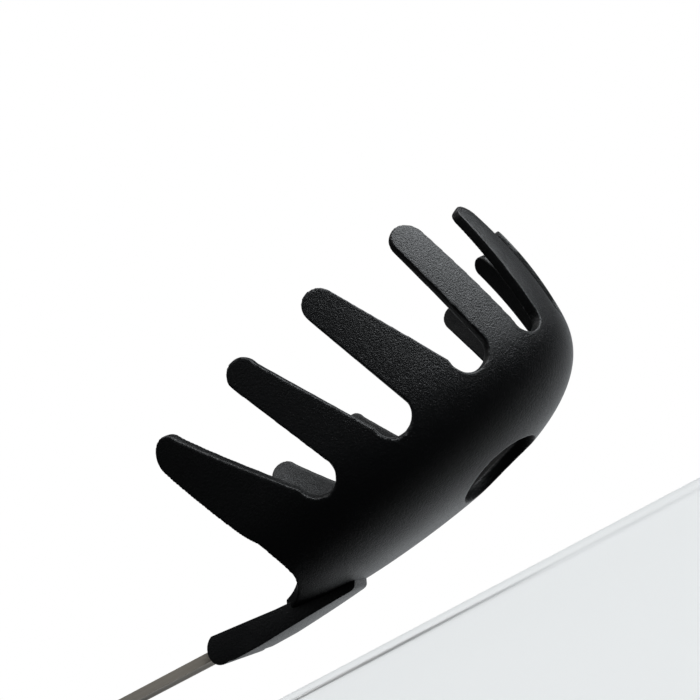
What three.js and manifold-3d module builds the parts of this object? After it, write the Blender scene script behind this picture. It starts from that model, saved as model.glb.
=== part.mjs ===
// Pasta server: a black nylon comb bowl on a flat stainless shaft, with a riveted grip.
// Millimetres, +Z up, +X towards the front of the bowl. The tool lies on its back, bowl down,
// touching the table under the back of the socket and under the end of the grip.
import * as THREE from 'three';
import { mergeVertices } from 'three/addons/utils/BufferGeometryUtils.js';
import Module from 'manifold-3d';

// ---- Bowl: an oval with a rounded bottom and a slightly flaring wall ----
const WALL = 2.8; // at the bottom
const WALL_THINNING = 0.01; // lost towards the finger tips per millimetre of height
const SHOULDER_Z = 21.5; // height where the rounded bottom becomes the straight wall
const HALF_LENGTH = 53.3; // oval semi-axes at the shoulder
const HALF_WIDTH = 28.2;
const FLARE_LENGTH = 0.196; // growth of the semi-axes per millimetre of height
const FLARE_WIDTH = 0.23;
const CURVE_LENGTH = -0.0053; // ... and per square millimetre of height above the shoulder
const CURVE_WIDTH = 0.001;
const LEAN = 0.013; // shift of the oval towards the front per millimetre of height
const BOTTOM_POWER = 2.82; // 2 would be a round bottom, more is flatter
const SHEET_RISE = 30; // the flat sheet grows by one semi-axis for this much height
const SHEET_STEPS = 24;
const SHEET_SECTORS = 80;

// ---- Comb: a slim finger at the very front, five more on each side, and the gaps between ----
// Angle round the oval from the front in degrees, height, radius of the rounding, and how far the
// rounding of a tip is turned backwards, in degrees.
const FRONT_TIP = { top: 45.0, radius: 2 };
const TIPS = [
  { angle: 23.4, top: 48.9, radius: 3.0, turn: 6 },
  { angle: 48.4, top: 47.7, radius: 3.7, turn: 7 },
  { angle: 74.4, top: 45.1, radius: 3.6, turn: 20 },
  { angle: 95.9, top: 43.6, radius: 3.5, turn: 6 },
  { angle: 123.2, top: 43.5, radius: 4.2, turn: 23 },
];
// Each gap lies in front of the finger with the same place in the list above.
const GAPS = [
  { angle: 8.6, bottom: 18.7, radius: 1.8 },
  { angle: 31.4, bottom: 16.6, radius: 3.3 },
  { angle: 52.8, bottom: 15.1, radius: 4.2 },
  { angle: 75.3, bottom: 12.9, radius: 4.0 },
  { angle: 95.9, bottom: 12.6, radius: 4.0 },
];
// The back edge on the flat sheet as a cubic curve: foot of the last finger, two pulls, socket.
const BACK_EDGE = [[-35.2, 35.9], [-25.2, 25.2], [-29.9, 17.6], [-40.3, 7.8]];
const EDGE_STEPS = 4; // pieces in each straight side of a finger

// ---- Drain hole in the bottom ----
const HOLE_X = 21.7;
const HOLE_RADIUS = 9.9;

// ---- Socket under the back of the bowl ----
const SOCKET_WIDTH = 16.7;
const SOCKET_FRONT_X = -16.4;
const SOCKET_NOSE_WIDTH = 6.4;
const SOCKET_TAPER_X = -42; // from here the socket narrows towards its nose
const SOCKET_BACK_X = -52.6;
const SOCKET_END_RADIUS = 3.3;
const SOCKET_FOOT_Z = -0.9;
// Flat foot the tool rests on, level with the table once the tool lies down: front and back end.
const SOCKET_REST = [[-40, 0.621], [-47, 1.5]];
const FIT_GAP = 0.3;

// ---- Shaft ----
const SHAFT_WIDTH = 12;
const SHAFT_THICKNESS = 2;
const SHAFT_SLOPE = 0.145; // rise towards the grip, in the bowl's own frame
const SHAFT_AT = { x: -53.4, z: 5.6 };
const SHAFT_FRONT_X = -33;
const GRIP_BACK_X = -268;

// ---- Grip ----
const GRIP_LENGTH = 122;
const GRIP_WIDTH = 22;
const GRIP_WAIST = 17;
const SCALE_THICKNESS = 6; // at the back end; thinner towards the front
const SCALE_FRONT_SHARE = 0.48; // front thickness as a share of that
const SCALE_ROUNDING = 1.6;
const RIVET_RADIUS = 2.5;
const RIVET_POSITIONS = [20, 52, 84]; // from the front end of the grip
const FERRULE_POSITION = 108;
const FERRULE_RADIUS = 4.6;
const FERRULE_BORE = 3.4;

// ---- Lying on the table ----
const REST_PITCH = 7.16; // degrees, front up

const NYLON = { color: 0x1b1c1e, roughness: 0.62, metalness: 0 };
const GRIP_NYLON = { color: 0x1d1e20, roughness: 0.58, metalness: 0 };
const STAINLESS = { color: 0xb9b4ad, roughness: 0.32, metalness: 1 };

const wasm = await Module();
wasm.setup();

// ---------- Solids ----------

// A closed geometry as a manifold solid: shared corners merged, needle triangles dropped.
function solidOf(geometry) {
  const bare = geometry.clone();
  bare.deleteAttribute('normal');
  bare.deleteAttribute('uv');
  const merged = mergeVertices(bare, 1e-4);
  const index = merged.index.array;
  const triangles = [];
  for (let i = 0; i < index.length; i += 3) {
    const [a, b, c] = [index[i], index[i + 1], index[i + 2]];
    if (a !== b && b !== c && c !== a) triangles.push(a, b, c);
  }
  return new wasm.Manifold(new wasm.Mesh({
    numProp: 3,
    vertProperties: new Float32Array(merged.attributes.position.array),
    triVerts: new Uint32Array(triangles),
  }));
}

function geometryOf(solid) {
  const mesh = solid.getMesh();
  const geometry = new THREE.BufferGeometry();
  geometry.setAttribute('position', new THREE.BufferAttribute(new Float32Array(mesh.vertProperties), 3));
  geometry.setIndex(new THREE.BufferAttribute(new Uint32Array(mesh.triVerts), 1));
  return geometry;
}

// A flat outline pushed up along Z from z0 by a height.
function prism(shape, z0, height, curveSegments = 12) {
  const geometry = new THREE.ExtrudeGeometry(shape, { depth: height, bevelEnabled: false, curveSegments });
  return geometry.translate(0, 0, z0);
}

// An outline drawn in the XZ plane, pushed along Y over a width centred on the middle plane.
function sidePrism(shape, width) {
  const geometry = prism(shape, -width / 2, width);
  return geometry.rotateX(Math.PI / 2);
}

// ---------- Bowl surface ----------

const rad = THREE.MathUtils.degToRad;

function semiLength(z) {
  const rise = z - SHOULDER_Z;
  return HALF_LENGTH + FLARE_LENGTH * rise + CURVE_LENGTH * Math.max(rise, 0) ** 2;
}

function semiWidth(z) {
  const rise = z - SHOULDER_Z;
  return HALF_WIDTH + FLARE_WIDTH * rise + CURVE_WIDTH * Math.max(rise, 0) ** 2;
}

// Height of the rounded bottom at a fraction of the oval's radius, and the reverse.
function bottomHeight(reach) {
  return SHOULDER_Z * (1 - (1 - reach ** BOTTOM_POWER) ** (1 / BOTTOM_POWER));
}

function reachAt(z) {
  if (z >= SHOULDER_Z) return 1;
  return (1 - (1 - z / SHOULDER_Z) ** BOTTOM_POWER) ** (1 / BOTTOM_POWER);
}

// The bowl starts as a flat oval sheet. How far out on the sheet a height of the bowl lies:
function sheetReach(z) {
  return reachAt(z) + z / SHEET_RISE;
}

// ... and the reverse, the radius fraction and height of the bowl for a place on the sheet.
function bowlPlace(sheet) {
  if (sheet >= sheetReach(SHOULDER_Z)) return { reach: 1, z: (sheet - 1) * SHEET_RISE };
  let low = 0;
  let high = 1;
  for (let i = 0; i < 40; i += 1) {
    const middle = (low + high) / 2;
    if (middle + bottomHeight(middle) / SHEET_RISE < sheet) low = middle;
    else high = middle;
  }
  return { reach: low, z: bottomHeight(low) };
}

// Point of the outer bowl surface that a sheet point lands on.
function onBowl(x, y) {
  const u = x / HALF_LENGTH;
  const v = y / HALF_WIDTH;
  const { reach, z } = bowlPlace(Math.hypot(u, v));
  const angle = Math.atan2(v, u);
  return new THREE.Vector3(
    semiLength(z) * reach * Math.cos(angle) + LEAN * (z - SHOULDER_Z),
    semiWidth(z) * reach * Math.sin(angle),
    z,
  );
}

// Bends the flat sheet into the bowl: height on the sheet becomes depth into the wall.
function bendIntoBowl(geometry) {
  const position = geometry.attributes.position;
  const step = 0.02;
  for (let i = 0; i < position.count; i += 1) {
    const x = position.getX(i);
    const y = position.getY(i);
    const alongX = onBowl(x + step, y).sub(onBowl(x - step, y));
    const alongY = onBowl(x, y + step).sub(onBowl(x, y - step));
    const inward = alongX.cross(alongY).normalize();
    const point = onBowl(x, y);
    const depth = position.getZ(i) * (1 - (WALL_THINNING / WALL) * point.z);
    point.addScaledVector(inward, depth);
    position.setXYZ(i, point.x, point.y, point.z);
  }
  return geometry;
}

// ---------- Outline of the comb, drawn on the flat sheet ----------

// The place on the sheet of a point given by its angle, a shift along the wall and a height.
function sheetPoint(angle, shift, z) {
  const turn = Math.hypot(semiLength(z) * Math.sin(angle), semiWidth(z) * Math.cos(angle)) * reachAt(z);
  const at = angle + shift / turn;
  const out = sheetReach(z);
  return new THREE.Vector2(HALF_LENGTH * out * Math.cos(at), HALF_WIDTH * out * Math.sin(at));
}

// The place on the sheet of a point near the wall, given in space.
function flattened(point) {
  const { x, y, z } = point;
  const angle = Math.atan2(y / semiWidth(z), (x - LEAN * (z - SHOULDER_Z)) / semiLength(z));
  const out = sheetReach(z);
  return new THREE.Vector2(HALF_LENGTH * out * Math.cos(angle), HALF_WIDTH * out * Math.sin(angle));
}

// Points between two sheet points whose line is straight in space, once the sheet is bent.
function straightSide(from, to) {
  const start = onBowl(from.x, from.y);
  const end = onBowl(to.x, to.y);
  const points = [];
  for (let i = 1; i < EDGE_STEPS; i += 1) points.push(flattened(start.clone().lerp(end, i / EDGE_STEPS)));
  return points;
}

// Half a turn of rounding, from the front side to the back side of a finger tip.
function tipArc(tip) {
  const points = [];
  for (let i = 0; i <= 8; i += 1) {
    const turn = (Math.PI * i) / 8 + rad(tip.turn);
    const height = tip.top - tip.radius + tip.radius * Math.sin(turn);
    points.push(sheetPoint(rad(tip.angle), -tip.radius * Math.cos(turn), height));
  }
  return points;
}

function gapArc(gap) {
  const points = [];
  for (let i = 0; i <= 8; i += 1) {
    const turn = (Math.PI * i) / 8;
    const height = gap.bottom + gap.radius - gap.radius * Math.sin(turn);
    points.push(sheetPoint(rad(gap.angle), -gap.radius * Math.cos(turn), height));
  }
  return points;
}

// One half of the front finger's round tip, from the middle to its side.
function frontTipArc() {
  const { top, radius } = FRONT_TIP;
  const points = [];
  for (let i = 0; i <= 4; i += 1) {
    const turn = (Math.PI / 2) * (i / 4);
    points.push(sheetPoint(0, radius * Math.sin(turn), top - radius * (1 - Math.cos(turn))));
  }
  return points;
}

function backEdge() {
  const corners = BACK_EDGE.map(([x, y]) => new THREE.Vector2(x, y));
  return new THREE.CubicBezierCurve(...corners).getPoints(14);
}

function combOutline() {
  const parts = [frontTipArc()];
  TIPS.forEach((tip, i) => {
    parts.push(gapArc(GAPS[i]));
    parts.push(tipArc(tip));
  });
  parts.push(backEdge());
  const half = [...parts[0]];
  for (const part of parts.slice(1)) half.push(...straightSide(half[half.length - 1], part[0]), ...part);
  const mirrored = half.slice(1).reverse().map((p) => new THREE.Vector2(p.x, -p.y));
  return new THREE.Shape([...half, ...mirrored]);
}

// ---------- Head ----------

function bowlSolid() {
  const rim = sheetReach(TIPS[0].top) + 0.1;
  const profile = [new THREE.Vector2(0, 0)];
  for (let i = 1; i <= SHEET_STEPS; i += 1) profile.push(new THREE.Vector2((rim * i) / SHEET_STEPS, 0));
  for (let i = SHEET_STEPS; i >= 1; i -= 1) profile.push(new THREE.Vector2((rim * i) / SHEET_STEPS, WALL));
  profile.push(new THREE.Vector2(0, WALL));
  const sheet = new THREE.LatheGeometry(profile, SHEET_SECTORS);
  sheet.rotateX(Math.PI / 2);
  sheet.scale(HALF_LENGTH, HALF_WIDTH, 1);
  const comb = solidOf(sheet).intersect(solidOf(prism(combOutline(), -1, WALL + 2)));
  const bowl = solidOf(bendIntoBowl(geometryOf(comb)));
  const hole = new THREE.CylinderGeometry(HOLE_RADIUS, HOLE_RADIUS, 20, 40);
  hole.rotateX(Math.PI / 2).translate(HOLE_X, 0, 0);
  return bowl.subtract(solidOf(hole));
}

// Side view of the socket: a tapering boss with a round end and a low foot at its front.
function socketOutline() {
  const shape = new THREE.Shape();
  shape.moveTo(SOCKET_FRONT_X, 1.4);
  shape.lineTo(SOCKET_FRONT_X - 1.2, SOCKET_FOOT_Z + 0.5);
  shape.quadraticCurveTo(
    SOCKET_FRONT_X - 1.6,
    SOCKET_FOOT_Z - 0.05,
    SOCKET_FRONT_X - 2.6,
    SOCKET_FOOT_Z,
  );
  for (const [x, z] of SOCKET_REST) {
    shape.lineTo(x, z);
  }
  const centre = { x: SOCKET_BACK_X + SOCKET_END_RADIUS, z: 5.3 };
  shape.absarc(centre.x, centre.z, SOCKET_END_RADIUS, -Math.PI * 0.45, -Math.PI * 1.42, true);
  shape.lineTo(-34, 4.9);
  shape.quadraticCurveTo(-28, 3.9, -22, 2.6);
  shape.closePath();
  return shape;
}

// Socket seen from above: full width at the back, narrowing in a curve to its nose.
function socketPlan() {
  const shape = new THREE.Shape();
  const half = SOCKET_WIDTH / 2;
  const nose = SOCKET_NOSE_WIDTH / 2;
  shape.moveTo(SOCKET_BACK_X - 1, half);
  shape.lineTo(SOCKET_BACK_X - 1, -half);
  shape.lineTo(SOCKET_TAPER_X, -half);
  shape.quadraticCurveTo(-27, -half, SOCKET_FRONT_X + 0.5, -nose);
  shape.lineTo(SOCKET_FRONT_X + 0.5, nose);
  shape.quadraticCurveTo(-27, half, SOCKET_TAPER_X, half);
  shape.closePath();
  return shape;
}

function shaftHeight(x) {
  return SHAFT_AT.z + SHAFT_SLOPE * (SHAFT_AT.x - x);
}

// A box along the shaft's line between two stations, given its width and thickness.
function alongShaft(x0, x1, width, thickness) {
  const length = Math.hypot(x1 - x0, shaftHeight(x1) - shaftHeight(x0));
  const box = new THREE.BoxGeometry(length, width, thickness);
  box.rotateY(Math.atan(SHAFT_SLOPE));
  return box.translate((x0 + x1) / 2, 0, (shaftHeight(x0) + shaftHeight(x1)) / 2);
}

function headGeometry() {
  const side = solidOf(sidePrism(socketOutline(), SOCKET_WIDTH));
  const plan = new THREE.ExtrudeGeometry(socketPlan(), {
    depth: 16,
    bevelEnabled: false,
    curveSegments: 6,
  });
  const boss = side.intersect(solidOf(plan.translate(0, 0, -4)));
  const slot = alongShaft(
    SHAFT_FRONT_X + 1,
    SOCKET_BACK_X - 5,
    SHAFT_WIDTH + 2 * FIT_GAP,
    SHAFT_THICKNESS + 2 * FIT_GAP,
  );
  return geometryOf(bowlSolid().add(boss).subtract(solidOf(slot)));
}

// ---------- Handle, in its own frame: X from the front of the grip to its back, Z down ----------

// Plan outline of the grip: a soft waist in front, a round end behind.
function gripOutline(inset) {
  const half = GRIP_WIDTH / 2 - inset;
  const front = GRIP_WAIST / 2 - inset;
  const end = GRIP_LENGTH - inset;
  const shape = new THREE.Shape();
  shape.moveTo(inset, -front + 3);
  shape.quadraticCurveTo(inset, -front, inset + 3, -front);
  shape.bezierCurveTo(30, -front + 0.6, 55, -half, end - half, -half);
  shape.absarc(end - half, 0, half, -Math.PI / 2, Math.PI / 2, false);
  shape.bezierCurveTo(55, half, 30, front - 0.6, inset + 3, front);
  shape.quadraticCurveTo(inset, front, inset, front - 3);
  shape.closePath();
  return shape;
}

function roundHole(shape, x, radius) {
  const hole = new THREE.Path();
  hole.absarc(x, 0, radius, 0, Math.PI * 2, true);
  shape.holes.push(hole);
}

// Thickness of a scale at a distance from the front of the grip.
function scaleThickness(x) {
  return SCALE_THICKNESS * (SCALE_FRONT_SHARE + (1 - SCALE_FRONT_SHARE) * (x / GRIP_LENGTH));
}

// One grip scale lying on top of the tang, with its upper rim rounded over.
function scaleGeometry() {
  const shape = gripOutline(SCALE_ROUNDING);
  for (const x of RIVET_POSITIONS) roundHole(shape, x, RIVET_RADIUS + FIT_GAP + SCALE_ROUNDING);
  roundHole(shape, FERRULE_POSITION, FERRULE_RADIUS + FIT_GAP + SCALE_ROUNDING);
  const rounded = new THREE.ExtrudeGeometry(shape, {
    depth: SCALE_THICKNESS - SCALE_ROUNDING,
    bevelThickness: SCALE_ROUNDING,
    bevelSize: SCALE_ROUNDING,
    bevelSegments: 3,
    curveSegments: 10,
  });
  const keep = new THREE.BoxGeometry(400, 60, 20).translate(0, 0, 10);
  const scale = geometryOf(solidOf(rounded).intersect(solidOf(keep)));
  const position = scale.attributes.position;
  for (let i = 0; i < position.count; i += 1) {
    position.setZ(i, (position.getZ(i) * scaleThickness(position.getX(i))) / SCALE_THICKNESS);
  }
  return scale;
}

function shaftGeometry() {
  const tang = new THREE.Shape();
  const half = SHAFT_WIDTH / 2;
  const front = -(SHAFT_FRONT_X - (GRIP_BACK_X + GRIP_LENGTH)) / Math.cos(Math.atan(SHAFT_SLOPE));
  const back = GRIP_LENGTH - 3 - half;
  tang.moveTo(front, -half);
  tang.lineTo(back, -half);
  tang.absarc(back, 0, half, -Math.PI / 2, Math.PI / 2, false);
  tang.lineTo(front, half);
  tang.closePath();
  for (const x of RIVET_POSITIONS) roundHole(tang, x, RIVET_RADIUS + FIT_GAP);
  roundHole(tang, FERRULE_POSITION, FERRULE_RADIUS + FIT_GAP);
  return prism(tang, -SHAFT_THICKNESS / 2, SHAFT_THICKNESS, 16);
}

// Height of a scale's outer face above the middle of the tang.
function faceHeight(x) {
  return SHAFT_THICKNESS / 2 + FIT_GAP + scaleThickness(x);
}

// A rivet: a plain shank ending in a very low dome level with each scale.
function rivetGeometry(x) {
  const face = faceHeight(x);
  const side = [
    new THREE.Vector2(0, -face - 0.1),
    new THREE.Vector2(RIVET_RADIUS * 0.6, -face),
    new THREE.Vector2(RIVET_RADIUS, -face + 0.3),
    new THREE.Vector2(RIVET_RADIUS, face - 0.3),
    new THREE.Vector2(RIVET_RADIUS * 0.6, face),
    new THREE.Vector2(0, face + 0.1),
  ];
  return new THREE.LatheGeometry(side, 24).rotateX(Math.PI / 2);
}

// The hanging hole's lining: a plain tube with chamfered ends, just below the scales.
function ferruleGeometry() {
  const face = faceHeight(FERRULE_POSITION) - 0.2;
  const side = [
    new THREE.Vector2(FERRULE_BORE, -face + 0.4),
    new THREE.Vector2(FERRULE_BORE + 0.4, -face),
    new THREE.Vector2(FERRULE_RADIUS, -face),
    new THREE.Vector2(FERRULE_RADIUS, face),
    new THREE.Vector2(FERRULE_BORE + 0.4, face),
    new THREE.Vector2(FERRULE_BORE, face - 0.4),
    new THREE.Vector2(FERRULE_BORE, -face + 0.4),
  ];
  return new THREE.LatheGeometry(side, 32).rotateX(Math.PI / 2);
}

// ---------- Assembly ----------

function piece(name, geometry, look) {
  const mesh = new THREE.Mesh(geometry, new THREE.MeshStandardMaterial(look));
  mesh.name = name;
  return mesh;
}

function handleGroup() {
  const handle = new THREE.Group();
  const gripFront = GRIP_BACK_X + GRIP_LENGTH;
  handle.position.set(gripFront, 0, shaftHeight(gripFront));
  // The grip's own X runs backwards and its own Z down, and the group then follows the rise.
  handle.rotation.set(0, Math.PI + Math.atan(SHAFT_SLOPE), 0);

  handle.add(piece('shaft', shaftGeometry(), STAINLESS));

  const lift = SHAFT_THICKNESS / 2 + FIT_GAP;
  const lower = piece('grip_scale_lower', scaleGeometry(), GRIP_NYLON);
  lower.position.z = lift;
  const upper = piece('grip_scale_upper', scaleGeometry(), GRIP_NYLON);
  upper.rotation.x = Math.PI;
  upper.position.z = -lift;
  handle.add(lower, upper);

  RIVET_POSITIONS.forEach((x, i) => {
    const rivet = piece(`rivet_${i + 1}`, rivetGeometry(x), STAINLESS);
    rivet.position.x = x;
    handle.add(rivet);
  });

  const ferrule = piece('hanging_ferrule', ferruleGeometry(), STAINLESS);
  ferrule.position.x = FERRULE_POSITION;
  handle.add(ferrule);
  return handle;
}

// Lays the tool down: front pitched up, bottom at z = 0, origin under the middle of its length.
function layDown(tool) {
  tool.rotation.y = -rad(REST_PITCH);
  tool.updateMatrixWorld(true);
  const box = new THREE.Box3().setFromObject(tool, true);
  tool.position.set(-(box.min.x + box.max.x) / 2, 0, -box.min.z);
  return tool;
}

const tool = new THREE.Group();
tool.add(piece('head', headGeometry(), NYLON));
tool.add(handleGroup());

export default layDown(tool);
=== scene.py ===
"""Looks for the pasta server: nylon comb bowl, stainless shaft, riveted grip.

The bowl is rebuilt finely from the same driving dimensions as the CAD head: its outline is drawn
on a flat sheet, given soft edges there, and then bent into the bowl.
"""

import math

import bmesh
import bpy
import numpy as np
from mathutils import Matrix, Vector
from mathutils.geometry import tessellate_polygon


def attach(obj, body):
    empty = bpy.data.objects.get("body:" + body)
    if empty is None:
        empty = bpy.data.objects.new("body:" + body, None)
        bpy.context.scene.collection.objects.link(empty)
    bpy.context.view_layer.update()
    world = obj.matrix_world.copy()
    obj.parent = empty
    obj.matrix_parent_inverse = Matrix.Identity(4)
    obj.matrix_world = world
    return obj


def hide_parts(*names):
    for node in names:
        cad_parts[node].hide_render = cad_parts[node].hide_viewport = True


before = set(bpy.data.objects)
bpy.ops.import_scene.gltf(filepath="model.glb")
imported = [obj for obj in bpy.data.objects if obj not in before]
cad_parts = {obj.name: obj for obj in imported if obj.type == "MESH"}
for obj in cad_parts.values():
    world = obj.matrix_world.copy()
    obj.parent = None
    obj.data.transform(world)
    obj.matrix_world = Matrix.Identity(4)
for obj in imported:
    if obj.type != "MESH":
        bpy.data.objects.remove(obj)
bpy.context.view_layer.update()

MM = 0.001

# ---- Bowl, in millimetres, in its own frame ----
WALL = 2.8
WALL_THINNING = 0.010
SHOULDER_Z = 21.5
HALF_LENGTH = 53.3
HALF_WIDTH = 28.2
FLARE_LENGTH = 0.196
FLARE_WIDTH = 0.23
CURVE_LENGTH = -0.0053
CURVE_WIDTH = 0.001
LEAN = 0.013
BOTTOM_POWER = 2.82
SHEET_RISE = 30.0

FRONT_TIP_TOP = 45.0
FRONT_TIP_RADIUS = 2.0
# Angle round the oval from the front in degrees, height, radius, turn of the rounding.
TIPS = [
    (23.4, 48.9, 3.0, 6),
    (48.4, 47.7, 3.7, 7),
    (74.4, 45.1, 3.6, 20),
    (95.9, 43.6, 3.5, 6),
    (123.2, 43.5, 4.2, 23),
]
# Angle, height of the bottom, radius: each gap lies in front of the finger listed above.
GAPS = [
    (8.6, 18.7, 1.8),
    (31.4, 16.6, 3.3),
    (52.8, 15.1, 4.2),
    (75.3, 12.9, 4.0),
    (95.9, 12.6, 4.0),
]
BACK_EDGE = [(-35.2, 35.9), (-25.2, 25.2), (-29.9, 17.6), (-40.3, 7.8)]
HOLE_X = 21.7
HOLE_RADIUS = 9.9

SOCKET_WIDTH = 16.7
SOCKET_FRONT_X = -16.4
SOCKET_NOSE_WIDTH = 6.4
SOCKET_TAPER_X = -42.0
SOCKET_BACK_X = -52.6
SOCKET_END_RADIUS = 3.3
SOCKET_FOOT_Z = -0.9
SOCKET_REST = [(-40.0, 0.621), (-47.0, 1.5)]

SHAFT_SLOPE = 0.145
SHAFT_X = -53.4
SHAFT_Z = 5.6
SLOT_WIDTH = 12.6
SLOT_HEIGHT = 2.6
SLOT_FRONT_X = -32.0

# ---- How the bowl's frame lies in the row's frame ----
REST_PITCH = math.radians(7.16)
REST_X = 109.4020
REST_Z = 4.3698

# ---- Camera: the photograph's viewing angle, from just below the tool's lowest point ----
CAMERA_PLACE = (0.14018, -0.13261, -0.01076)
CAMERA_TURN = (117.18, 25.15, 23.43)
CAMERA_LENS = 31.22

# ---- Floor: below the camera's height, because an opaque floor under the tool would hide it ----
FLOOR_Z = -0.0125
FLOOR_SIZE = 12
FLOOR_GLOW = 0.12

# ---- Studio glow: direction, where it starts and is full (cosines), strength ----
BACKDROP_GLOW = ((0.14, 0.95, -0.24), 0.5, 0.95, 0.7)
SIDE_GLOW = ((0.86, -0.36, 0.62), 0.89, 1.0, 9.5)
FRONT_GLOW = ((-0.25, -0.65, 0.75), 0.6, 1.0, 0.25)
AMBIENT = 0.02
GLOW_TINT = (0.93, 0.97, 1.0, 1)
OVERHEAD_PLACE = (0.0, -0.1, 0.9)
OVERHEAD_TARGET = (0.05, 0, 0.03)
OVERHEAD_SIZE = 0.7
OVERHEAD_POWER = 1.4

# ---- Fineness of the bowl: grid of the flat sheet, and how far its edges are softened ----
VOXEL = 0.42
SMOOTHING = 6


# ---------- Helpers ----------


def rest_matrix():
    """From the bowl's own frame in millimetres to the row's frame in metres."""
    pitch = Matrix.Rotation(-REST_PITCH, 4, "Y")
    return Matrix.Scale(MM, 4) @ Matrix.Translation((REST_X, 0, REST_Z)) @ pitch


def new_object(name, mesh):
    obj = bpy.data.objects.new(name, mesh)
    bpy.context.scene.collection.objects.link(obj)
    return obj


def baked_mesh(obj):
    """The object's mesh with its modifiers applied; the object itself is removed."""
    graph = bpy.context.evaluated_depsgraph_get()
    mesh = bpy.data.meshes.new_from_object(obj.evaluated_get(graph))
    bpy.data.objects.remove(obj)
    return mesh


def prism_mesh(name, loops, low, high):
    """A closed prism along Z over an outline; loops after the first are holes."""
    flat = [[Vector((x, y, 0)) for x, y in loop] for loop in loops]
    triangles = tessellate_polygon(flat)
    points = [point for loop in flat for point in loop]
    bm = bmesh.new()
    lower = [bm.verts.new((p.x, p.y, low)) for p in points]
    upper = [bm.verts.new((p.x, p.y, high)) for p in points]
    for a, b, c in triangles:
        bm.faces.new((lower[a], lower[b], lower[c]))
        bm.faces.new((upper[c], upper[b], upper[a]))
    start = 0
    for loop in loops:
        count = len(loop)
        for i in range(count):
            a = start + i
            b = start + (i + 1) % count
            bm.faces.new((lower[a], lower[b], upper[b], upper[a]))
        start += count
    bmesh.ops.recalc_face_normals(bm, faces=bm.faces)
    mesh = bpy.data.meshes.new(name)
    bm.to_mesh(mesh)
    bm.free()
    return mesh


def arc(centre_x, centre_y, radius, start, end, count):
    """Points along an arc, angles in degrees."""
    points = []
    for i in range(count + 1):
        angle = math.radians(start + (end - start) * i / count)
        points.append((centre_x + radius * math.cos(angle), centre_y + radius * math.sin(angle)))
    return points


def bezier(points, count):
    """Points along a Bezier curve of any degree."""
    result = []
    for i in range(count + 1):
        level = [Vector(p) for p in points]
        t = i / count
        while len(level) > 1:
            level = [a.lerp(b, t) for a, b in zip(level, level[1:])]
        result.append(tuple(level[0]))
    return result


# ---------- Bowl surface ----------


def semi_length(z):
    rise = z - SHOULDER_Z
    return HALF_LENGTH + FLARE_LENGTH * rise + CURVE_LENGTH * np.maximum(rise, 0) ** 2


def semi_width(z):
    rise = z - SHOULDER_Z
    return HALF_WIDTH + FLARE_WIDTH * rise + CURVE_WIDTH * np.maximum(rise, 0) ** 2


def bottom_height(reach):
    return SHOULDER_Z * (1 - (1 - reach**BOTTOM_POWER) ** (1 / BOTTOM_POWER))


def reach_at(z):
    if z >= SHOULDER_Z:
        return 1.0
    return (1 - (1 - z / SHOULDER_Z) ** BOTTOM_POWER) ** (1 / BOTTOM_POWER)


def sheet_reach(z):
    """How far out on the flat sheet a height of the bowl lies, in semi-axes."""
    return reach_at(z) + z / SHEET_RISE


def on_bowl(x, y):
    """Points of the outer surface that the sheet points (arrays) land on."""
    known_reach = 1 - np.linspace(1, 0, 4001) ** 3
    known_z = bottom_height(known_reach)
    known_sheet = known_reach + known_z / SHEET_RISE
    sheet = np.hypot(x / HALF_LENGTH, y / HALF_WIDTH)
    angle = np.arctan2(y / HALF_WIDTH, x / HALF_LENGTH)
    above = sheet > known_sheet[-1]
    reach = np.where(above, 1.0, np.interp(sheet, known_sheet, known_reach))
    z = np.where(above, (sheet - 1) * SHEET_RISE, bottom_height(reach))
    lean = LEAN * (z - SHOULDER_Z)
    return np.stack(
        [
            semi_length(z) * reach * np.cos(angle) + lean,
            semi_width(z) * reach * np.sin(angle),
            z,
        ],
        axis=-1,
    )


def bend_into_bowl(points):
    """Sheet points (x, y, depth) bent into the bowl: depth goes inward from the outer surface."""
    x, y, depth = points[:, 0], points[:, 1], points[:, 2]
    step = 0.15
    along_x = on_bowl(x + step, y) - on_bowl(x - step, y)
    along_y = on_bowl(x, y + step) - on_bowl(x, y - step)
    inward = np.cross(along_x, along_y)
    inward /= np.linalg.norm(inward, axis=1)[:, None]
    outer = on_bowl(x, y)
    depth = depth * (1 - WALL_THINNING / WALL * outer[:, 2])
    return outer + inward * depth[:, None]


# ---------- Outline of the comb on the sheet ----------


def sheet_point(angle, shift, z):
    """Sheet place of an angle round the oval, a shift along the wall and a height."""
    turn = math.hypot(semi_length(z) * math.sin(angle), semi_width(z) * math.cos(angle))
    at = angle + shift / (turn * reach_at(z))
    out = sheet_reach(z)
    return (HALF_LENGTH * out * math.cos(at), HALF_WIDTH * out * math.sin(at))


def tip_arc(angle, top, radius, turned):
    points = []
    for i in range(17):
        turn = math.pi * i / 16 + math.radians(turned)
        z = top - radius + radius * math.sin(turn)
        points.append(sheet_point(math.radians(angle), -radius * math.cos(turn), z))
    return points


def gap_arc(angle, bottom, radius):
    points = []
    for i in range(17):
        turn = math.pi * i / 16
        z = bottom + radius - radius * math.sin(turn)
        points.append(sheet_point(math.radians(angle), -radius * math.cos(turn), z))
    return points


def front_tip_arc():
    """One half of the front finger's round tip, from the middle to its side."""
    points = []
    for i in range(9):
        turn = math.pi / 2 * i / 8
        z = FRONT_TIP_TOP - FRONT_TIP_RADIUS * (1 - math.cos(turn))
        points.append(sheet_point(0, FRONT_TIP_RADIUS * math.sin(turn), z))
    return points


def straight_side(start, end, count):
    """Sheet points between two others that lie on a straight line once the sheet is bent."""
    ends = on_bowl(np.array([start[0], end[0]]), np.array([start[1], end[1]]))
    points = []
    for i in range(1, count):
        x, y, z = ends[0] + (ends[1] - ends[0]) * i / count
        angle = math.atan2(y / semi_width(z), (x - LEAN * (z - SHOULDER_Z)) / semi_length(z))
        out = sheet_reach(z)
        points.append((HALF_LENGTH * out * math.cos(angle), HALF_WIDTH * out * math.sin(angle)))
    return points


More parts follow.
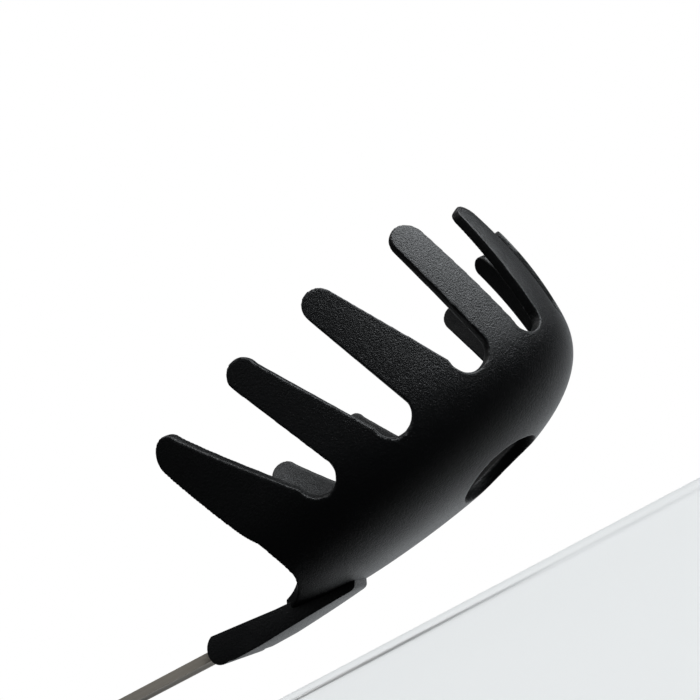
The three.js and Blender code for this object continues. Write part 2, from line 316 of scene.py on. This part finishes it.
def comb_outline():
    parts = [front_tip_arc()]
    for gap, tip in zip(GAPS, TIPS):
        parts.append(gap_arc(*gap))
        parts.append(tip_arc(*tip))
    parts.append(bezier(BACK_EDGE, 20))
    half = parts[0]
    for part in parts[1:]:
        half = half + straight_side(half[-1], part[0], 6) + part
    return half + [(x, -y) for x, y in reversed(half[1:])]


def hole_outline():
    """The round drain hole, taken back from the bowl to the sheet."""
    points = []
    for x, y in arc(HOLE_X, 0, HOLE_RADIUS, 0, 360, 64)[:-1]:
        z = 0.0
        for _ in range(6):
            u = (x - LEAN * (z - SHOULDER_Z)) / semi_length(z)
            v = y / semi_width(z)
            reach = math.hypot(u, v)
            z = bottom_height(reach)
        out = (reach + z / SHEET_RISE) / reach
        points.append((HALF_LENGTH * out * u, HALF_WIDTH * out * v))
    return points


def bowl_mesh():
    sheet = new_object("sheet", prism_mesh("sheet", [comb_outline(), hole_outline()], 0, WALL))
    remesh = sheet.modifiers.new("even_grid", "REMESH")
    remesh.mode = "VOXEL"
    remesh.voxel_size = VOXEL
    soften = sheet.modifiers.new("soft_edges", "SMOOTH")
    soften.factor = 0.5
    soften.iterations = SMOOTHING
    mesh = baked_mesh(sheet)
    flat = np.empty(len(mesh.vertices) * 3)
    mesh.vertices.foreach_get("co", flat)
    bent = bend_into_bowl(flat.reshape(-1, 3))
    mesh.vertices.foreach_set("co", bent.ravel())
    return mesh


# ---------- Socket ----------


def socket_outline():
    """Side view (x, z): a tapering boss with a round end and a low foot at its front."""
    front = SOCKET_FRONT_X
    centre_x = SOCKET_BACK_X + SOCKET_END_RADIUS
    low = SOCKET_FOOT_Z
    foot = bezier([(front - 1.2, low + 0.5), (front - 1.6, low - 0.05), (front - 2.6, low)], 4)
    end = arc(centre_x, 5.3, SOCKET_END_RADIUS, -81, -255.6, 14)
    top = bezier([(-34, 4.9), (-28, 3.9), (-22, 2.6)], 6)
    return [(front, 1.4)] + foot + SOCKET_REST + end + top


def socket_plan():
    """The socket from above: full width at the back, narrowing in a curve to its nose."""
    half = SOCKET_WIDTH / 2
    tip = SOCKET_FRONT_X + 0.5
    side = bezier([(SOCKET_TAPER_X, half), (-27, half), (tip, SOCKET_NOSE_WIDTH / 2)], 12)
    outline = [(SOCKET_BACK_X - 1, half)] + side
    return outline + [(x, -y) for x, y in reversed(outline)]


def add_boolean(obj, operation, other):
    cut = obj.modifiers.new(other.name, "BOOLEAN")
    cut.operation = operation
    cut.solver = "EXACT"
    cut.object = other


def shaft_box(name, x0, x1, width, height):
    """A box along the shaft's line, in the bowl's frame."""
    z0 = SHAFT_Z + SHAFT_SLOPE * (SHAFT_X - x0)
    z1 = SHAFT_Z + SHAFT_SLOPE * (SHAFT_X - x1)
    bm = bmesh.new()
    bmesh.ops.create_cube(bm, size=1)
    place = (
        Matrix.Translation(((x0 + x1) / 2, 0, (z0 + z1) / 2))
        @ Matrix.Rotation(math.atan(SHAFT_SLOPE), 4, "Y")
        @ Matrix.Diagonal((math.hypot(x1 - x0, z1 - z0), width, height, 1))
    )
    bmesh.ops.transform(bm, matrix=place, verts=bm.verts)
    mesh = bpy.data.meshes.new(name)
    bm.to_mesh(mesh)
    bm.free()
    return new_object(name, mesh)


def socket_mesh():
    half = SOCKET_WIDTH / 2
    mesh = prism_mesh("socket", [socket_outline()], -half, half)
    mesh.transform(Matrix.Rotation(math.pi / 2, 4, "X"))
    socket = new_object("socket", mesh)
    plan = new_object("plan", prism_mesh("plan", [socket_plan()], -4, 12))
    add_boolean(socket, "INTERSECT", plan)
    bevel = socket.modifiers.new("soft_edges", "BEVEL")
    bevel.width = 0.9
    bevel.segments = 4
    bevel.limit_method = "ANGLE"
    bevel.angle_limit = math.radians(40)
    slot = shaft_box("slot", SLOT_FRONT_X, SOCKET_BACK_X - 5, SLOT_WIDTH, SLOT_HEIGHT)
    add_boolean(socket, "DIFFERENCE", slot)
    result = baked_mesh(socket)
    bpy.data.objects.remove(slot)
    bpy.data.objects.remove(plan)
    return result


# ---------- Materials ----------


class Nodes:
    """A node tree with short calls for the few nodes the materials use."""

    def __init__(self, name):
        self.material = bpy.data.materials.new(name)
        self.material.use_nodes = True
        self.tree = self.material.node_tree
        self.shader = self.tree.nodes["Principled BSDF"]
        self.place = self.tree.nodes.new("ShaderNodeTexCoord").outputs["Object"]

    def add(self, kind, **settings):
        node = self.tree.nodes.new(kind)
        for key, value in settings.items():
            setattr(node, key, value)
        return node

    def link(self, source, target):
        self.tree.links.new(source, target)

    def scaled(self, scale, turn_y=0.0):
        mapping = self.add("ShaderNodeMapping")
        mapping.inputs["Scale"].default_value = scale
        first = self.add("ShaderNodeVectorRotate", rotation_type="Y_AXIS")
        first.inputs["Angle"].default_value = turn_y
        self.link(self.place, first.inputs["Vector"])
        self.link(first.outputs["Vector"], mapping.inputs["Vector"])
        return mapping.outputs["Vector"]

    def noise(self, vector, scale, detail=4.0, roughness=0.55):
        node = self.add("ShaderNodeTexNoise")
        node.inputs["Scale"].default_value = scale
        node.inputs["Detail"].default_value = detail
        node.inputs["Roughness"].default_value = roughness
        self.link(vector, node.inputs["Vector"])
        return node.outputs["Fac"]

    def ramp(self, value, stops):
        node = self.add("ShaderNodeValToRGB")
        elements = node.color_ramp.elements
        while len(elements) < len(stops):
            elements.new(0.5)
        for element, (position, colour) in zip(elements, stops):
            element.position = position
            element.color = (*colour, 1)
        self.link(value, node.inputs["Fac"])
        return node.outputs["Color"]

    def spread(self, value, low, high, start=0.3, end=0.7):
        node = self.add("ShaderNodeMapRange")
        node.inputs["From Min"].default_value = start
        node.inputs["From Max"].default_value = end
        node.inputs["To Min"].default_value = low
        node.inputs["To Max"].default_value = high
        self.link(value, node.inputs["Value"])
        return node.outputs["Result"]

    def bump(self, height, distance, strength, normal=None):
        node = self.add("ShaderNodeBump")
        node.inputs["Distance"].default_value = distance
        node.inputs["Strength"].default_value = strength
        self.link(height, node.inputs["Height"])
        if normal is not None:
            self.link(normal, node.inputs["Normal"])
        return node.outputs["Normal"]


def nylon(name, dark, light, rough_low, rough_high):
    """Black moulded nylon: fine spark-eroded grain with pits, and faint flow clouds."""
    n = Nodes(name)
    place = n.scaled((1, 1, 1))
    clouds = n.noise(place, 38, 3)
    grain = n.noise(place, 3600, 3, 0.65)
    pits = n.noise(place, 1900, 2, 0.5)
    mottling = n.ramp(clouds, [(0.3, dark), (0.75, light)])
    n.link(mottling, n.shader.inputs["Base Color"])
    n.link(n.spread(clouds, rough_low, rough_high), n.shader.inputs["Roughness"])
    coarse = n.bump(pits, 0.00008, 0.7)
    fine = n.bump(grain, 0.00013, 1.0, coarse)
    n.link(fine, n.shader.inputs["Normal"])
    n.shader.inputs["IOR"].default_value = 1.53
    n.shader.inputs["Specular IOR Level"].default_value = 0.5
    return n.material


def brushed_steel(name, turn_y, colour, dark, rough):
    """Stainless steel brushed along the shaft."""
    n = Nodes(name)
    streaks = n.scaled((12, 900, 900), turn_y)
    lines = n.noise(streaks, 1.0, 5, 0.65)
    clouds = n.noise(n.scaled((1, 1, 1)), 30, 3)
    n.link(n.ramp(lines, [(0.25, dark), (0.75, colour)]), n.shader.inputs["Base Color"])
    n.link(n.spread(clouds, rough - 0.05, rough + 0.07), n.shader.inputs["Roughness"])
    n.link(n.bump(lines, 0.00002, 0.25), n.shader.inputs["Normal"])
    n.shader.inputs["Metallic"].default_value = 1.0
    n.shader.inputs["Anisotropic"].default_value = 0.4
    return n.material


def set_material(obj, material):
    obj.data.materials.clear()
    obj.data.materials.append(material)


# ---------- Pieces ----------


def make_head(material):
    bm = bmesh.new()
    for mesh in (bowl_mesh(), socket_mesh()):
        bm.from_mesh(mesh)
        bpy.data.meshes.remove(mesh)
    bmesh.ops.transform(bm, matrix=rest_matrix(), verts=bm.verts)
    for face in bm.faces:
        face.smooth = True
    mesh = bpy.data.meshes.new("nylon_head")
    bm.to_mesh(mesh)
    bm.free()
    head = new_object("nylon_head", mesh)
    head.data.set_sharp_from_angle(angle=math.radians(50))
    set_material(head, material)
    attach(head, "root")
    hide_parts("head")
    return head


def dress_cad_nodes(grip, steel, rivet_steel):
    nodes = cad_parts
    for name, material in (
        ("shaft", steel),
        ("grip_scale_upper", grip),
        ("grip_scale_lower", grip),
        ("rivet_1", rivet_steel),
        ("rivet_2", rivet_steel),
        ("rivet_3", rivet_steel),
        ("hanging_ferrule", rivet_steel),
    ):
        for material_slot in nodes[name].material_slots:
            material_slot.material = material


# ---------- Studio ----------


def make_floor():
    """A plain pale floor. It is a stage only and sends no light back to the tool."""
    bpy.ops.mesh.primitive_plane_add(size=FLOOR_SIZE, location=(0, 0, FLOOR_Z))
    floor = bpy.context.object
    floor.name = "floor"
    n = Nodes("pale_floor")
    clouds = n.noise(n.place, 0.8, 2)
    pale = n.ramp(clouds, [(0.3, (0.90, 0.90, 0.89)), (0.7, (0.92, 0.92, 0.91))])
    n.link(pale, n.shader.inputs["Base Color"])
    n.shader.inputs["Roughness"].default_value = 0.9
    n.shader.inputs["Emission Color"].default_value = (1, 1, 1, 1)
    n.shader.inputs["Emission Strength"].default_value = FLOOR_GLOW
    set_material(floor, n.material)
    floor.visible_diffuse = False
    floor.visible_glossy = False


def world_glow(tree, direction, start, end, strength):
    """Light that grows towards one direction of the sky, as a strength socket."""
    place = tree.nodes.new("ShaderNodeTexCoord")
    toward = tree.nodes.new("ShaderNodeVectorMath")
    toward.operation = "DOT_PRODUCT"
    toward.inputs[1].default_value = Vector(direction).normalized()
    falloff = tree.nodes.new("ShaderNodeMapRange")
    falloff.interpolation_type = "SMOOTHSTEP"
    falloff.inputs["From Min"].default_value = start
    falloff.inputs["From Max"].default_value = end
    falloff.inputs["To Max"].default_value = strength
    tree.links.new(place.outputs["Generated"], toward.inputs[0])
    tree.links.new(toward.outputs["Value"], falloff.inputs["Value"])
    return falloff.outputs["Result"]


def world_sum(tree, first, second):
    total = tree.nodes.new("ShaderNodeMath")
    total.operation = "ADD"
    tree.links.new(first, total.inputs[0])
    if isinstance(second, float):
        total.inputs[1].default_value = second
    else:
        tree.links.new(second, total.inputs[1])
    return total.outputs["Value"]


def make_world():
    """Plain white for the camera; the tool is lit by a backdrop, a strong side and a soft front."""
    world = bpy.data.worlds.new("studio")
    bpy.context.scene.world = world
    world.use_nodes = True
    tree = world.node_tree
    tree.nodes.clear()
    backdrop = world_glow(tree, *BACKDROP_GLOW)
    side = world_glow(tree, *SIDE_GLOW)
    front = world_glow(tree, *FRONT_GLOW)
    light = tree.nodes.new("ShaderNodeBackground")
    light.inputs["Color"].default_value = GLOW_TINT
    total = world_sum(tree, world_sum(tree, backdrop, side), world_sum(tree, front, AMBIENT))
    tree.links.new(total, light.inputs["Strength"])
    seen = tree.nodes.new("ShaderNodeBackground")
    seen.inputs["Color"].default_value = (1, 1, 1, 1)
    path = tree.nodes.new("ShaderNodeLightPath")
    mix = tree.nodes.new("ShaderNodeMixShader")
    out = tree.nodes.new("ShaderNodeOutputWorld")
    tree.links.new(path.outputs["Is Camera Ray"], mix.inputs["Fac"])
    tree.links.new(light.outputs["Background"], mix.inputs[1])
    tree.links.new(seen.outputs["Background"], mix.inputs[2])
    tree.links.new(mix.outputs["Shader"], out.inputs["Surface"])


def area_light(name, location, target, size, power):
    data = bpy.data.lights.new(name, "AREA")
    data.shape = "DISK"
    data.size = size
    data.energy = power
    light = bpy.data.objects.new(name, data)
    light.location = location
    light.rotation_euler = (Vector(target) - Vector(location)).to_track_quat("-Z", "Y").to_euler()
    light.visible_camera = False
    bpy.context.scene.collection.objects.link(light)


def make_camera():
    data = bpy.data.cameras.new("camera")
    data.lens = CAMERA_LENS
    data.sensor_width = 36
    data.clip_start = 0.005
    data.clip_end = 50
    camera = bpy.data.objects.new("camera", data)
    camera.location = CAMERA_PLACE
    camera.rotation_euler = [math.radians(a) for a in CAMERA_TURN]
    bpy.context.scene.collection.objects.link(camera)
    bpy.context.scene.camera = camera


# ---------- Scene ----------

scene = bpy.context.scene
scene.view_settings.view_transform = "Standard"

bowl_nylon = nylon("bowl_nylon_look", (0.0026, 0.0028, 0.0033), (0.0042, 0.0045, 0.0052), 0.29, 0.36)
grip_nylon = nylon("grip_nylon_look", (0.0045, 0.0046, 0.005), (0.008, 0.0081, 0.0085), 0.46, 0.56)
steel = brushed_steel("steel_look", 0.0, (0.86, 0.79, 0.70), (0.70, 0.63, 0.54), 0.55)
rivet_steel = brushed_steel("rivet_look", 0.0, (0.7, 0.69, 0.67), (0.52, 0.51, 0.49), 0.28)

make_head(bowl_nylon)
dress_cad_nodes(grip_nylon, steel, rivet_steel)

make_camera()
make_floor()
make_world()
area_light(
    "overhead_softbox", OVERHEAD_PLACE, OVERHEAD_TARGET, OVERHEAD_SIZE, OVERHEAD_POWER
)
